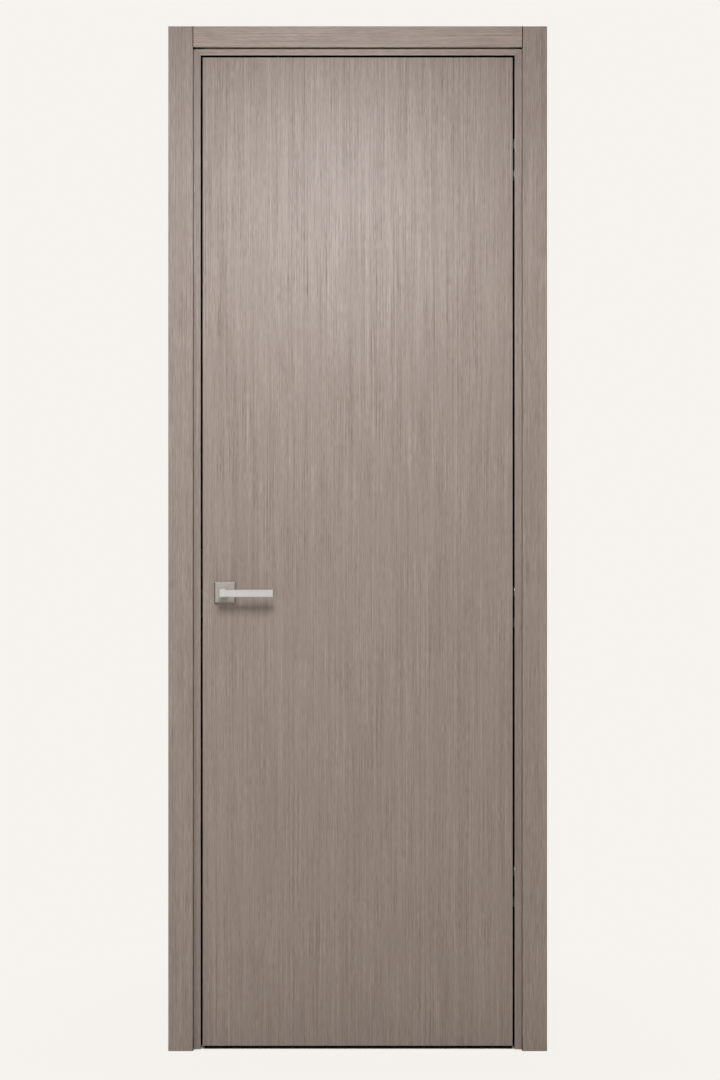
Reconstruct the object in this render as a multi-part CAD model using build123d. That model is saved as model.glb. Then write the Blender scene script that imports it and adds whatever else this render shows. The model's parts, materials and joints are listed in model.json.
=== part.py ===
from build123d import *

import os

# A flush door in its rebated frame, in millimetres, +Z up.
# The origin lies on the wall face of the hinge side jamb, at floor level, half way through the wall.
# The leaf runs from the hinges along -X. It opens towards -Y, the side that it is seen from.

# Leaf
LEAF_WIDTH = 762.0
LEAF_HEIGHT = 2430.0
LEAF_THICKNESS = 44.0
SKIN_THICKNESS = 4.0
HINGE_STILE_WIDTH = 42.0
LATCH_STILE_WIDTH = 100.0
TOP_RAIL_HEIGHT = 45.0
BOTTOM_RAIL_HEIGHT = 70.0
LATCH_BEVEL = 2.0

# Gaps round the leaf
SIDE_GAP = 5.0
HEAD_GAP = 5.0
FLOOR_GAP = 8.5
STOP_GAP = 4.0

# Jamb
JAMB_THICKNESS = 40.0
JAMB_DEPTH = 116.0
STOP_PROJECTION = 15.0

# Casing, a flat board with a tongue that goes into a groove in the edge of the jamb
CASING_THICKNESS = 18.0
LEG_WIDTH = 60.5
HEAD_CASING_HEIGHT = 51.5
SIDE_REVEAL = 17.5
HEAD_REVEAL = 15.5
CASING_EDGE_RADIUS = 1.5
TONGUE_INSET = 8.0
TONGUE_THICKNESS = 6.0
TONGUE_LENGTH = 20.0
TONGUE_CLEARANCE = 0.3

# Rubber seal on the stop: a base with a round bead and a lip, and a stem in a kerf
SEAL_WIDTH = 10.5
SEAL_INSET = 0.5
SEAL_LEAF_GAP = 0.3
SEAL_BASE_THICKNESS = 1.2
SEAL_BEAD_RADIUS = 1.6
SEAL_LIP_THICKNESS = 1.0
SEAL_LIP_LEAN = 2.2
STEM_OFFSET = 4.0
STEM_WIDTH = 2.6
STEM_LENGTH = 6.0
STEM_CLEARANCE = 0.2
SEAL_END_GAP = 0.3

# Seal under the leaf, in a groove behind the front skin
BOTTOM_SEAL_DROP = 6.5
BOTTOM_SEAL_THICKNESS = 12.0
BOTTOM_SEAL_DEPTH = 20.0
BOTTOM_SEAL_INSET = 2.0

# Concealed hinges. Each has a body in the jamb, a body in the leaf and a crescent arm that runs in both.
HINGE_FROM_TOP = {"top": 248.5, "middle": 1351.5, "bottom": 2040.0}
HINGE_HEIGHT = 104.0
HINGE_WIDTH = 26.0
HINGE_DEPTH = 23.0
HINGE_SETBACK = 4.0
HINGE_CAP_PROUD = 1.2
HINGE_CAP_HEIGHT = 25.0
ARM_INNER_RADIUS = 17.0
ARM_OUTER_RADIUS = 23.0
ARM_WEB_THICKNESS = 3.0
ARM_HALF_ANGLE = 70.0
ARM_LEAF_HEIGHT = 14.0
ARM_WEB_HEIGHT = 4.0
ARM_LEAF_COUNT = 3
ARM_CLEARANCE = 0.5
ARM_END_ANGLE = 2.5

# Lock and strike
BACKSET = 55.0
HANDLE_HEIGHT = 1115.0
CASE_LENGTH = 80.0
CASE_HEIGHT = 170.0
CASE_THICKNESS = 16.0
CASE_DROP = 20.0
FACEPLATE_WIDTH = 20.0
FACEPLATE_HEIGHT = 200.0
FACEPLATE_DEPTH = 4.0
BOLT_WIDTH = 12.0
BOLT_HEIGHT = 32.0
BOLT_LENGTH = 26.0
BOLT_RISE = 42.0
STRIKE_WIDTH = 24.0
STRIKE_HEIGHT = 170.0
STRIKE_THICKNESS = 3.0
STRIKE_POCKET_DEPTH = 14.0
STRIKE_SLOT_MARGIN = 1.0
PLATE_SCREW_HOLE = 4.5
PLATE_SCREW_EDGE = 10.0
FIT_CLEARANCE = 0.2
RUNNING_CLEARANCE = 0.3

# Lever handle
SPINDLE_SIZE = 8.0
SPINDLE_BORE = 22.0
FOLLOWER_BORE = 12.6
ROSE_SIZE = 52.5
ROSE_THICKNESS = 9.0
ROSE_CHAMFER = 2.5
NECK_DIAMETER = 20.0
NECK_LEAF_GAP = 0.5
LEVER_REACH = 122.0
LEVER_HEEL = 11.4
LEVER_HEIGHT = 18.6
LEVER_THICKNESS = 9.0
LEVER_FRONT = 60.0
LEVER_DROP = 1.5
LEVER_CHAMFER = 1.6
SPINDLE_LEVER_GRIP = 30.0

# Planes that follow from the sizes above
FRONT_Y = -JAMB_DEPTH / 2
BACK_Y = JAMB_DEPTH / 2
LEAF_FRONT_Y = FRONT_Y
LEAF_BACK_Y = LEAF_FRONT_Y + LEAF_THICKNESS
LEAF_MID_Y = (LEAF_FRONT_Y + LEAF_BACK_Y) / 2
STOP_Y = LEAF_BACK_Y + STOP_GAP
HINGE_REBATE_X = -JAMB_THICKNESS
LEAF_HINGE_X = HINGE_REBATE_X - SIDE_GAP
LEAF_LATCH_X = LEAF_HINGE_X - LEAF_WIDTH
LATCH_REBATE_X = LEAF_LATCH_X - SIDE_GAP
LATCH_WALL_X = LATCH_REBATE_X - JAMB_THICKNESS
MIDDLE_X = LATCH_WALL_X / 2
LEAF_BOTTOM_Z = FLOOR_GAP
LEAF_TOP_Z = LEAF_BOTTOM_Z + LEAF_HEIGHT
HEAD_REBATE_Z = LEAF_TOP_Z + HEAD_GAP
HEAD_WALL_Z = HEAD_REBATE_Z + JAMB_THICKNESS
STOP_DEPTH = JAMB_THICKNESS + STOP_PROJECTION
CASING_INNER_X = HINGE_REBATE_X + SIDE_REVEAL
CASING_OUTER_X = CASING_INNER_X + LEG_WIDTH
HEAD_CASING_BOTTOM_Z = HEAD_REBATE_Z + HEAD_REVEAL
CASING_TOP_Z = HEAD_CASING_BOTTOM_Z + HEAD_CASING_HEIGHT
PIVOT_X = (HINGE_REBATE_X + LEAF_HINGE_X) / 2
PIVOT_Y = LEAF_FRONT_Y
SPINDLE_X = LEAF_LATCH_X + BACKSET
SPINDLE_Z = LEAF_BOTTOM_Z + HANDLE_HEIGHT
HINGE_Y = LEAF_FRONT_Y + HINGE_SETBACK + HINGE_WIDTH / 2
ARM_HEIGHT = ARM_LEAF_COUNT * ARM_LEAF_HEIGHT + (ARM_LEAF_COUNT - 1) * ARM_WEB_HEIGHT


def rectangle(x0, x1, y0, y1):
    """A flat rectangle between two corners."""
    return Pos((x0 + x1) / 2, (y0 + y1) / 2) * Rectangle(abs(x1 - x0), abs(y1 - y0))


def block(x0, x1, y0, y1, z0, z1):
    """A box between two corners."""
    size = (abs(x1 - x0), abs(y1 - y0), abs(z1 - z0))
    return Pos((x0 + x1) / 2, (y0 + y1) / 2, (z0 + z1) / 2) * Box(*size)


def to_latch_side(shape):
    """The shape mirrored about the middle of the doorway."""
    return mirror(shape, about=Plane.YZ.offset(MIDDLE_X))


def to_back(shape, y=0.0):
    """The shape mirrored front to back about the plane at y."""
    return mirror(shape, about=Plane.XZ.offset(-y))


def hinge_centres():
    """Name and height of each hinge."""
    return [(name, LEAF_TOP_Z - drop) for name, drop in HINGE_FROM_TOP.items()]


def upright(section, z0, z1):
    """A section drawn in plan, raised between two heights."""
    return extrude(Plane.XY.offset(z0) * section, amount=z1 - z0)


def along_head(section, x0, x1):
    """A section drawn in plan for the hinge side, turned to run along the head between two places."""
    piece = extrude(section, amount=x1 - x0)
    return Pos(x1, 0, HEAD_WALL_Z) * Rot(0, -90, 0) * piece


def jamb_section():
    """Plan of the hinge side jamb, with grooves for both casings and a kerf for the seal."""
    corners = [
        (0, FRONT_Y),
        (-JAMB_THICKNESS, FRONT_Y),
        (-JAMB_THICKNESS, STOP_Y),
        (-STOP_DEPTH, STOP_Y),
        (-STOP_DEPTH, BACK_Y),
        (0, BACK_Y),
    ]
    section = make_face(Polyline(*corners, close=True))
    groove_near = -TONGUE_INSET + TONGUE_CLEARANCE
    groove_far = -TONGUE_INSET - TONGUE_THICKNESS - TONGUE_CLEARANCE
    groove_length = TONGUE_LENGTH + TONGUE_CLEARANCE
    section -= rectangle(groove_near, groove_far, FRONT_Y, FRONT_Y + groove_length)
    section -= rectangle(groove_near, groove_far, BACK_Y, BACK_Y - groove_length)
    kerf_near = -JAMB_THICKNESS - STEM_OFFSET + STEM_CLEARANCE
    kerf_far = -JAMB_THICKNESS - STEM_OFFSET - STEM_WIDTH - STEM_CLEARANCE
    return section - rectangle(kerf_near, kerf_far, STOP_Y, STOP_Y + STEM_LENGTH + STEM_CLEARANCE)


def head_wedge():
    """The space of the head jamb, ended by the two mitre planes."""
    corners = [
        (0, HEAD_WALL_Z),
        (LATCH_WALL_X, HEAD_WALL_Z),
        (LATCH_WALL_X + STOP_DEPTH, HEAD_WALL_Z - STOP_DEPTH),
        (-STOP_DEPTH, HEAD_WALL_Z - STOP_DEPTH),
    ]
    face = Plane.XZ * make_face(Polyline(*corners, close=True))
    return extrude(face, amount=JAMB_DEPTH, both=True)


def hinge_outline(grow=0.0):
    """Outline of a hinge body in the plane of the jamb face, seen along X."""
    return SlotOverall(HINGE_HEIGHT + 2 * grow, HINGE_WIDTH + 2 * grow, rotation=90)


def hinge_mortise(centre_z):
    """The pocket for a hinge body in the jamb."""
    face = Plane.YZ.offset(HINGE_REBATE_X) * Pos(HINGE_Y, centre_z) * hinge_outline(FIT_CLEARANCE)
    return extrude(face, amount=HINGE_DEPTH + FIT_CLEARANCE)


def strike_pocket():
    """The recess for the strike plate and the hollow behind it, in the latch side jamb."""
    bolt_z = SPINDLE_Z - CASE_DROP + BOLT_RISE
    half_width = STRIKE_WIDTH / 2
    recess = block(
        LATCH_REBATE_X, LATCH_REBATE_X - STRIKE_THICKNESS,
        LEAF_MID_Y - half_width, LEAF_MID_Y + half_width,
        bolt_z - STRIKE_HEIGHT / 2, bolt_z + STRIKE_HEIGHT / 2,
    )
    hollow = block(
        LATCH_REBATE_X, LATCH_REBATE_X - STRIKE_POCKET_DEPTH,
        LEAF_MID_Y - BOLT_WIDTH, LEAF_MID_Y + BOLT_WIDTH,
        bolt_z - BOLT_HEIGHT, bolt_z + BOLT_HEIGHT,
    )
    return recess + hollow


def jambs():
    """The three jambs, mitred at the top corners."""
    leg = upright(jamb_section(), 0, HEAD_WALL_Z) - head_wedge()
    hinge_leg = leg
    for _, centre_z in hinge_centres():
        hinge_leg -= hinge_mortise(centre_z)
    head = along_head(jamb_section(), LATCH_WALL_X, 0) & head_wedge()
    return {
        "jamb_hinge_side": hinge_leg,
        "jamb_latch_side": to_latch_side(leg) - strike_pocket(),
        "jamb_head": head,
    }


def front_edges(board, axis):
    """Edges of the front face of a board that run along an axis."""
    return board.faces().sort_by(Axis.Y)[0].edges().filter_by(axis)


def casing_leg():
    """The front casing leg of the hinge side, with its tongue."""
    front = FRONT_Y - CASING_THICKNESS
    board = block(CASING_INNER_X, CASING_OUTER_X, front, FRONT_Y, 0, CASING_TOP_Z)
    top = front_edges(board, Axis.X).sort_by(Axis.Z)[-1]
    board = fillet(front_edges(board, Axis.Z) + [top], CASING_EDGE_RADIUS)
    tongue_top = HEAD_WALL_Z - TONGUE_INSET - TONGUE_THICKNESS
    tongue_x = -TONGUE_INSET - TONGUE_THICKNESS
    return board + block(tongue_x, -TONGUE_INSET, FRONT_Y, FRONT_Y + TONGUE_LENGTH, 0, tongue_top)


def casing_head():
    """The front head casing, butted between the legs, with its tongue."""
    front = FRONT_Y - CASING_THICKNESS
    x0, x1 = LATCH_WALL_X - CASING_INNER_X, CASING_INNER_X
    board = block(x0, x1, front, FRONT_Y, HEAD_CASING_BOTTOM_Z, CASING_TOP_Z)
    board = fillet(front_edges(board, Axis.X), CASING_EDGE_RADIUS)
    tongue_top = HEAD_WALL_Z - TONGUE_INSET
    tongue_bottom = tongue_top - TONGUE_THICKNESS
    return board + block(x0, x1, FRONT_Y, FRONT_Y + TONGUE_LENGTH, tongue_bottom, tongue_top)


def casings():
    """Both sets of casing."""
    leg, head = casing_leg(), casing_head()
    front = {"hinge_side": leg, "latch_side": to_latch_side(leg), "head": head}
    pieces = {f"casing_front_{place}": piece for place, piece in front.items()}
    pieces.update({f"casing_back_{place}": to_back(piece) for place, piece in front.items()})
    return pieces


def seal_head_section():
    """Plan of the part of the seal in front of the stop: a base, a bead at one edge and a lip at the other."""
    near = -JAMB_THICKNESS - SEAL_INSET
    far = near - SEAL_WIDTH
    base_y, tip_y = STOP_Y - SEAL_BASE_THICKNESS, STOP_Y - STOP_GAP + SEAL_LEAF_GAP
    bead_x, bead_y = near - SEAL_BEAD_RADIUS, tip_y + SEAL_BEAD_RADIUS
    bead = Pos(bead_x, bead_y) * Circle(SEAL_BEAD_RADIUS)
    foot = rectangle(near, bead_x - SEAL_BEAD_RADIUS, bead_y, base_y)
    lip = make_face(
        Polyline(
            (far, base_y),
            (far + SEAL_LIP_LEAN, tip_y),
            (far + SEAL_LIP_LEAN + SEAL_LIP_THICKNESS, tip_y),
            (far + SEAL_LIP_LEAN, base_y),
            close=True,
        )
    )
    return rectangle(near, far, base_y, STOP_Y) + bead + foot + lip


def seal_stem_section():
    """Plan of the stem of the seal."""
    near = -JAMB_THICKNESS - STEM_OFFSET
    return rectangle(near, near - STEM_WIDTH, STOP_Y, STOP_Y + STEM_LENGTH)


def seals():
    """Seals on the stop: the side ones run full height and the head one lies between them."""
    stem_top = HEAD_REBATE_Z - STEM_OFFSET - STEM_WIDTH - STEM_CLEARANCE
    side = upright(seal_head_section(), 0, HEAD_REBATE_Z - SEAL_END_GAP)
    side += upright(seal_stem_section(), 0, stem_top)
    reach = JAMB_THICKNESS + SEAL_INSET + SEAL_WIDTH + SEAL_END_GAP
    span = (LATCH_WALL_X + reach, -reach)
    head = along_head(seal_head_section(), *span) + along_head(seal_stem_section(), *span)
    return {"seal_hinge_side": side, "seal_latch_side": to_latch_side(side), "seal_head": head}


def strike_plate():
    """The plate that the bolt goes into, let into the latch side jamb."""
    bolt_z = SPINDLE_Z - CASE_DROP + BOLT_RISE
    half_height = STRIKE_HEIGHT / 2
    half_slot_width = BOLT_WIDTH / 2 + STRIKE_SLOT_MARGIN
    half_slot_height = BOLT_HEIGHT / 2 + STRIKE_SLOT_MARGIN
    plate = block(
        LATCH_REBATE_X, LATCH_REBATE_X - STRIKE_THICKNESS,
        LEAF_MID_Y - STRIKE_WIDTH / 2, LEAF_MID_Y + STRIKE_WIDTH / 2,
        bolt_z - half_height, bolt_z + half_height,
    )
    plate -= block(
        LATCH_REBATE_X, LATCH_REBATE_X - STRIKE_THICKNESS,
        LEAF_MID_Y - half_slot_width, LEAF_MID_Y + half_slot_width,
        bolt_z - half_slot_height, bolt_z + half_slot_height,
    )
    for z in (bolt_z - half_height + PLATE_SCREW_EDGE, bolt_z + half_height - PLATE_SCREW_EDGE):
        hole = Rot(0, 90, 0) * Cylinder(PLATE_SCREW_HOLE / 2, 4 * STRIKE_THICKNESS)
        plate -= Pos(LATCH_REBATE_X, LEAF_MID_Y, z) * hole
    return {"strike_plate": plate}


def arm_sector(inner_radius, outer_radius, half_angle):
    """Plan of a crescent about the pivot, even on both sides of the gap."""
    centre = (PIVOT_X, PIVOT_Y)
    start, sweep = 90 - half_angle, 2 * half_angle
    outer = CenterArc(centre, outer_radius, start, sweep)
    inner = CenterArc(centre, inner_radius, start, sweep)
    return make_face([outer, Line(outer @ 1, inner @ 1), inner, Line(inner @ 0, outer @ 0)])


def frame_hinge_body(centre_z):
    """The hinge body in the jamb: rounded ends, proud end caps and an arc slot for the arm."""
    face = Plane.YZ.offset(HINGE_REBATE_X) * Pos(HINGE_Y, centre_z) * hinge_outline()
    body = extrude(face, amount=HINGE_DEPTH)
    caps = extrude(face, amount=-HINGE_CAP_PROUD)
    bare = HINGE_HEIGHT / 2 - HINGE_CAP_HEIGHT
    caps -= block(
        HINGE_REBATE_X, LEAF_HINGE_X,
        HINGE_Y - HINGE_WIDTH, HINGE_Y + HINGE_WIDTH,
        centre_z - bare, centre_z + bare,
    )
    slot = arm_sector(
        ARM_INNER_RADIUS - ARM_CLEARANCE,
        ARM_OUTER_RADIUS + ARM_CLEARANCE,
        ARM_HALF_ANGLE + ARM_END_ANGLE,
    )
    half_slot = ARM_HEIGHT / 2 + ARM_CLEARANCE
    return body + caps - upright(slot, centre_z - half_slot, centre_z + half_slot)


def to_leaf(shape):
    """The shape mirrored about the pivot, from the jamb to the leaf."""
    return mirror(shape, about=Plane.YZ.offset(PIVOT_X))


def hinge_arm(centre_z):
    """A crescent arm: leaves joined by thinner webs, with the hollows on the inner side."""
    thin = arm_sector(ARM_OUTER_RADIUS - ARM_WEB_THICKNESS, ARM_OUTER_RADIUS, ARM_HALF_ANGLE)
    thick = arm_sector(ARM_INNER_RADIUS, ARM_OUTER_RADIUS, ARM_HALF_ANGLE)
    bottom = centre_z - ARM_HEIGHT / 2
    arm = upright(thin, bottom, bottom + ARM_HEIGHT)
    for n in range(ARM_LEAF_COUNT):
        start = bottom + n * (ARM_LEAF_HEIGHT + ARM_WEB_HEIGHT)
        arm += upright(thick, start, start + ARM_LEAF_HEIGHT)
    return arm


def hinges():
    """Bodies and arm of each hinge."""
    pieces = {}
    for name, centre_z in hinge_centres():
        body = frame_hinge_body(centre_z)
        pieces[f"hinge_{name}_frame_body"] = body
        pieces[f"hinge_{name}_leaf_body"] = to_leaf(body)
        pieces[f"hinge_{name}_arm"] = hinge_arm(centre_z)
    return pieces


def bevel_waste():
    """What the bevel takes off the latch edge, so that the back corner clears the jamb."""
    corners = [
        (LEAF_LATCH_X, LEAF_FRONT_Y),
        (LEAF_LATCH_X + LATCH_BEVEL, LEAF_BACK_Y),
        (LEAF_LATCH_X, LEAF_BACK_Y),
    ]
    return upright(make_face(Polyline(*corners, close=True)), LEAF_BOTTOM_Z, LEAF_TOP_Z)


def spindle_hole(diameter):
    """A hole through the whole leaf at the spindle."""
    hole = Rot(90, 0, 0) * Cylinder(diameter / 2, 2 * LEAF_THICKNESS)
    return Pos(SPINDLE_X, LEAF_MID_Y, SPINDLE_Z) * hole


def bottom_seal():
    """The seal under the leaf, close behind the front skin."""
    front = LEAF_FRONT_Y + SKIN_THICKNESS
    return block(
        LEAF_LATCH_X + LATCH_BEVEL + BOTTOM_SEAL_INSET, LEAF_HINGE_X - BOTTOM_SEAL_INSET,
        front, front + BOTTOM_SEAL_THICKNESS,
        LEAF_BOTTOM_Z - BOTTOM_SEAL_DROP, LEAF_BOTTOM_Z + BOTTOM_SEAL_DEPTH,
    )


def bottom_groove():
    """The groove for the seal, open at both edges of the leaf."""
    front = LEAF_FRONT_Y + SKIN_THICKNESS
    return block(
        LEAF_LATCH_X, LEAF_HINGE_X,
        front, front + BOTTOM_SEAL_THICKNESS + FIT_CLEARANCE,
        LEAF_BOTTOM_Z, LEAF_BOTTOM_Z + BOTTOM_SEAL_DEPTH + FIT_CLEARANCE,
    )


def lock_case_block(grow=0.0):
    """The outside of the lock case."""
    centre_z = SPINDLE_Z - CASE_DROP
    return block(
        LEAF_LATCH_X + FACEPLATE_DEPTH, LEAF_LATCH_X + CASE_LENGTH + grow,
        LEAF_MID_Y - CASE_THICKNESS / 2 - grow, LEAF_MID_Y + CASE_THICKNESS / 2 + grow,
        centre_z - CASE_HEIGHT / 2 - grow, centre_z + CASE_HEIGHT / 2 + grow,
    )


def faceplate_block():
    """The outside of the lock faceplate, before the bevel."""
    centre_z = SPINDLE_Z - CASE_DROP
    return block(
        LEAF_LATCH_X, LEAF_LATCH_X + FACEPLATE_DEPTH,
        LEAF_MID_Y - FACEPLATE_WIDTH / 2, LEAF_MID_Y + FACEPLATE_WIDTH / 2,
        centre_z - FACEPLATE_HEIGHT / 2, centre_z + FACEPLATE_HEIGHT / 2,
    )


def bolt_block(grow=0.0):
    """The bolt, drawn back flush with the faceplate."""
    centre_z = SPINDLE_Z - CASE_DROP + BOLT_RISE
    return block(
        LEAF_LATCH_X, LEAF_LATCH_X + BOLT_LENGTH + grow,
        LEAF_MID_Y - BOLT_WIDTH / 2 - grow, LEAF_MID_Y + BOLT_WIDTH / 2 + grow,
        centre_z - BOLT_HEIGHT / 2 - grow, centre_z + BOLT_HEIGHT / 2 + grow,
    )


def leaf():
    """Skins, stiles, rails and core of the leaf."""
    skin = block(
        LEAF_LATCH_X, LEAF_HINGE_X,
        LEAF_FRONT_Y, LEAF_FRONT_Y + SKIN_THICKNESS,
        LEAF_BOTTOM_Z, LEAF_TOP_Z,
    )
    y0, y1 = LEAF_FRONT_Y + SKIN_THICKNESS, LEAF_BACK_Y - SKIN_THICKNESS
    hinge_stile_x = LEAF_HINGE_X - HINGE_STILE_WIDTH
    latch_stile_x = LEAF_LATCH_X + LATCH_STILE_WIDTH
    top_rail_z = LEAF_TOP_Z - TOP_RAIL_HEIGHT
    bottom_rail_z = LEAF_BOTTOM_Z + BOTTOM_RAIL_HEIGHT
    waste, hole, groove = bevel_waste(), spindle_hole(SPINDLE_BORE), bottom_groove()
    hinge_stile = block(hinge_stile_x, LEAF_HINGE_X, y0, y1, LEAF_BOTTOM_Z, LEAF_TOP_Z) - groove
    for _, centre_z in hinge_centres():
        hinge_stile -= to_leaf(hinge_mortise(centre_z))
    latch_stile = block(LEAF_LATCH_X, latch_stile_x, y0, y1, LEAF_BOTTOM_Z, LEAF_TOP_Z)
    latch_stile -= groove + waste + hole
    latch_stile -= lock_case_block(FIT_CLEARANCE) + faceplate_block()
    back_skin = Pos(0, LEAF_THICKNESS - SKIN_THICKNESS, 0) * skin
    return {
        "leaf_front_face": skin - waste - hole,
        "leaf_back_face": back_skin - waste - hole,
        "leaf_hinge_stile": hinge_stile,
        "leaf_latch_stile": latch_stile,
        "leaf_top_rail": block(latch_stile_x, hinge_stile_x, y0, y1, top_rail_z, LEAF_TOP_Z),
        "leaf_bottom_rail": block(
            latch_stile_x, hinge_stile_x, y0, y1, LEAF_BOTTOM_Z, bottom_rail_z
        ) - groove,
        "leaf_core": block(latch_stile_x, hinge_stile_x, y0, y1, bottom_rail_z, top_rail_z),
        "bottom_seal": bottom_seal(),
    }


def lock():
    """Lock case, faceplate and bolt."""
    waste = bevel_waste()
    case = lock_case_block() - spindle_hole(FOLLOWER_BORE) - bolt_block(RUNNING_CLEARANCE)
    plate = faceplate_block() - waste - bolt_block(RUNNING_CLEARANCE)
    plate_z = SPINDLE_Z - CASE_DROP
    reach = FACEPLATE_HEIGHT / 2 - PLATE_SCREW_EDGE
    for z in (plate_z - reach, plate_z + reach):
        hole = Rot(0, 90, 0) * Cylinder(PLATE_SCREW_HOLE / 2, 2 * FACEPLATE_DEPTH)
        plate -= Pos(LEAF_LATCH_X + FACEPLATE_DEPTH / 2, LEAF_MID_Y, z) * hole
    return {"lock_case": case, "lock_faceplate": plate, "latch_bolt": bolt_block() - waste}


def rose():
    """The square rose on the front face, bevelled towards the viewer, with a hole for the neck."""
    front = LEAF_FRONT_Y - ROSE_THICKNESS
    half = ROSE_SIZE / 2
    plate = block(
        SPINDLE_X - half, SPINDLE_X + half, front, LEAF_FRONT_Y, SPINDLE_Z - half, SPINDLE_Z + half
    )
    plate = chamfer(plate.faces().sort_by(Axis.Y)[0].edges(), ROSE_CHAMFER)
    return plate - spindle_hole(NECK_DIAMETER + 2 * RUNNING_CLEARANCE)


def lever():
    """The front lever: a round neck on the spindle and a flat bar towards the hinges."""
    bar_front = LEAF_FRONT_Y - LEVER_FRONT
    bar_back = bar_front + LEVER_THICKNESS
    bar_z = SPINDLE_Z - LEVER_DROP
    bar = block(
        SPINDLE_X - LEVER_HEEL, SPINDLE_X + LEVER_REACH,
        bar_front, bar_back,
        bar_z - LEVER_HEIGHT / 2, bar_z + LEVER_HEIGHT / 2,
    )
    bar = chamfer(bar.faces().sort_by(Axis.Y)[0].edges(), LEVER_CHAMFER)
    neck_end = LEAF_FRONT_Y - NECK_LEAF_GAP
    neck_face = Plane.XZ.offset(-bar_back) * Pos(SPINDLE_X, SPINDLE_Z) * Circle(NECK_DIAMETER / 2)
    neck = extrude(neck_face, amount=-(neck_end - bar_back))
    return bar + neck - spindle_bar(SPINDLE_SIZE + 2 * FIT_CLEARANCE, FIT_CLEARANCE)


def spindle_bar(size, extra=0.0):
    """A square bar through the leaf that reaches into both levers."""
    reach = LEAF_THICKNESS / 2 + SPINDLE_LEVER_GRIP + extra
    return Pos(SPINDLE_X, LEAF_MID_Y, SPINDLE_Z) * Box(size, 2 * reach, size)


def handle():
    """Roses, levers and spindle. The back ones mirror the front ones."""
    front_rose, front_lever = rose(), lever()
    return {
        "rose_front": front_rose,
        "rose_back": to_back(front_rose, LEAF_MID_Y),
        "lever_front": front_lever,
        "lever_back": to_back(front_lever, LEAF_MID_Y),
        "spindle": spindle_bar(SPINDLE_SIZE),
    }


def main():
    """Build every piece and write one file for each."""
    os.makedirs("parts", exist_ok=True)
    for group in (jambs, casings, seals, strike_plate, hinges, leaf, lock, handle):
        for name, piece in group().items():
            export_step(piece, f"parts/{name}.step")


main()
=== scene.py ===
"""Finishes, small fittings, light and camera for a taupe laminate flush door in its frame."""

import json
import logging
import math
from dataclasses import dataclass
from enum import Enum

import bmesh
import bpy
from mathutils import Matrix, Vector

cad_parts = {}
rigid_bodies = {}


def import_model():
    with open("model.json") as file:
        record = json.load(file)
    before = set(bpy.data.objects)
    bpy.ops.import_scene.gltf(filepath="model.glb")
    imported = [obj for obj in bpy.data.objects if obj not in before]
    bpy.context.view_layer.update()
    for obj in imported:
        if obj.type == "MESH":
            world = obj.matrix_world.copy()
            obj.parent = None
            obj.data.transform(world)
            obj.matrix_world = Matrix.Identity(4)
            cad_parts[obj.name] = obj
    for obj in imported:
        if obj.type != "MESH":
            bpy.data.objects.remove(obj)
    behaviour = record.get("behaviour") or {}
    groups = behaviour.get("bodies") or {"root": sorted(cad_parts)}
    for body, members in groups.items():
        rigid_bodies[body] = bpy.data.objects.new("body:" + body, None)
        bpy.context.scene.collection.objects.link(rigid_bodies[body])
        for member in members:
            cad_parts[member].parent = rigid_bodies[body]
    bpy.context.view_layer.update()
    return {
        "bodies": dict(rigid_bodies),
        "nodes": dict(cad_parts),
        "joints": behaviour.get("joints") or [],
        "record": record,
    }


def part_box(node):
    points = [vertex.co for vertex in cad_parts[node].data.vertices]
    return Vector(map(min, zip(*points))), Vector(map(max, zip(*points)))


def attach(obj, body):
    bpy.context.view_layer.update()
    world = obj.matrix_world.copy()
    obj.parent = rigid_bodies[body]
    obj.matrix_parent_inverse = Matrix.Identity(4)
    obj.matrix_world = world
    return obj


LOG = logging.getLogger("flush_door")

MM = 0.001
NEAR_ZERO = 1e-6
WELD_MM = 0.01
SHARP_EDGE_DEG = 40.0

BODY_FRAME = "frame"
BODY_LEAF = "leaf"

HINGE_NAMES = ("top", "middle", "bottom")


class Grain(Enum):
    """The direction in which a board's grain runs."""

    UPRIGHT = "upright"
    LEVEL = "level"


class BareFace(Enum):
    """Which face of a board has no laminate on it."""

    NONE = "none"
    WALL_SIDE = "wall_side"
    TOWARDS_BACK = "towards_back"
    TOWARDS_FRONT = "towards_front"


def linear(hex_colour: str) -> tuple[float, float, float, float]:
    """Turn an sRGB hex colour into linear red, green, blue and alpha.

    Args:
        hex_colour: Six hex digits with a leading hash mark.

    Returns:
        The linear colour with an alpha of 1.
    """
    values = [int(hex_colour[n : n + 2], 16) / 255 for n in (1, 3, 5)]
    parts = [v / 12.92 if v <= 0.04045 else ((v + 0.055) / 1.055) ** 2.4 for v in values]
    return parts[0], parts[1], parts[2], 1.0


def add_node(
    tree: bpy.types.NodeTree,
    kind: str,
    settings: dict[str, object] | None = None,
    inputs: dict[str | int, object] | None = None,
) -> bpy.types.Node:
    """Add a node, with its settings, its fixed values and the links into it.

    Args:
        tree: The node tree that gets the node.
        kind: Blender's name of the node's type.
        settings: Properties to set on the node.
        inputs: Value or source socket of each input, by its name or place.

    Returns:
        The new node.
    """
    node = tree.nodes.new(kind)
    for name, value in (settings or {}).items():
        setattr(node, name, value)
    for key, value in (inputs or {}).items():
        if isinstance(value, bpy.types.NodeSocket):
            tree.links.new(value, node.inputs[key])
        else:
            node.inputs[key].default_value = value
    return node


def new_material(name: str) -> tuple[bpy.types.Material, bpy.types.NodeTree]:
    """Make an empty node material.

    Args:
        name: The material's name.

    Returns:
        The material and its node tree.
    """
    material = bpy.data.materials.new(name)
    material.use_nodes = True
    material.node_tree.nodes.clear()
    return material, material.node_tree


def finish_material(tree: bpy.types.NodeTree, shader: bpy.types.NodeSocket) -> None:
    """Link a shader to the material's output.

    Args:
        tree: The material's node tree.
        shader: The socket that gives the shader.
    """
    add_node(tree, "ShaderNodeOutputMaterial", inputs={"Surface": shader})


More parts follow.
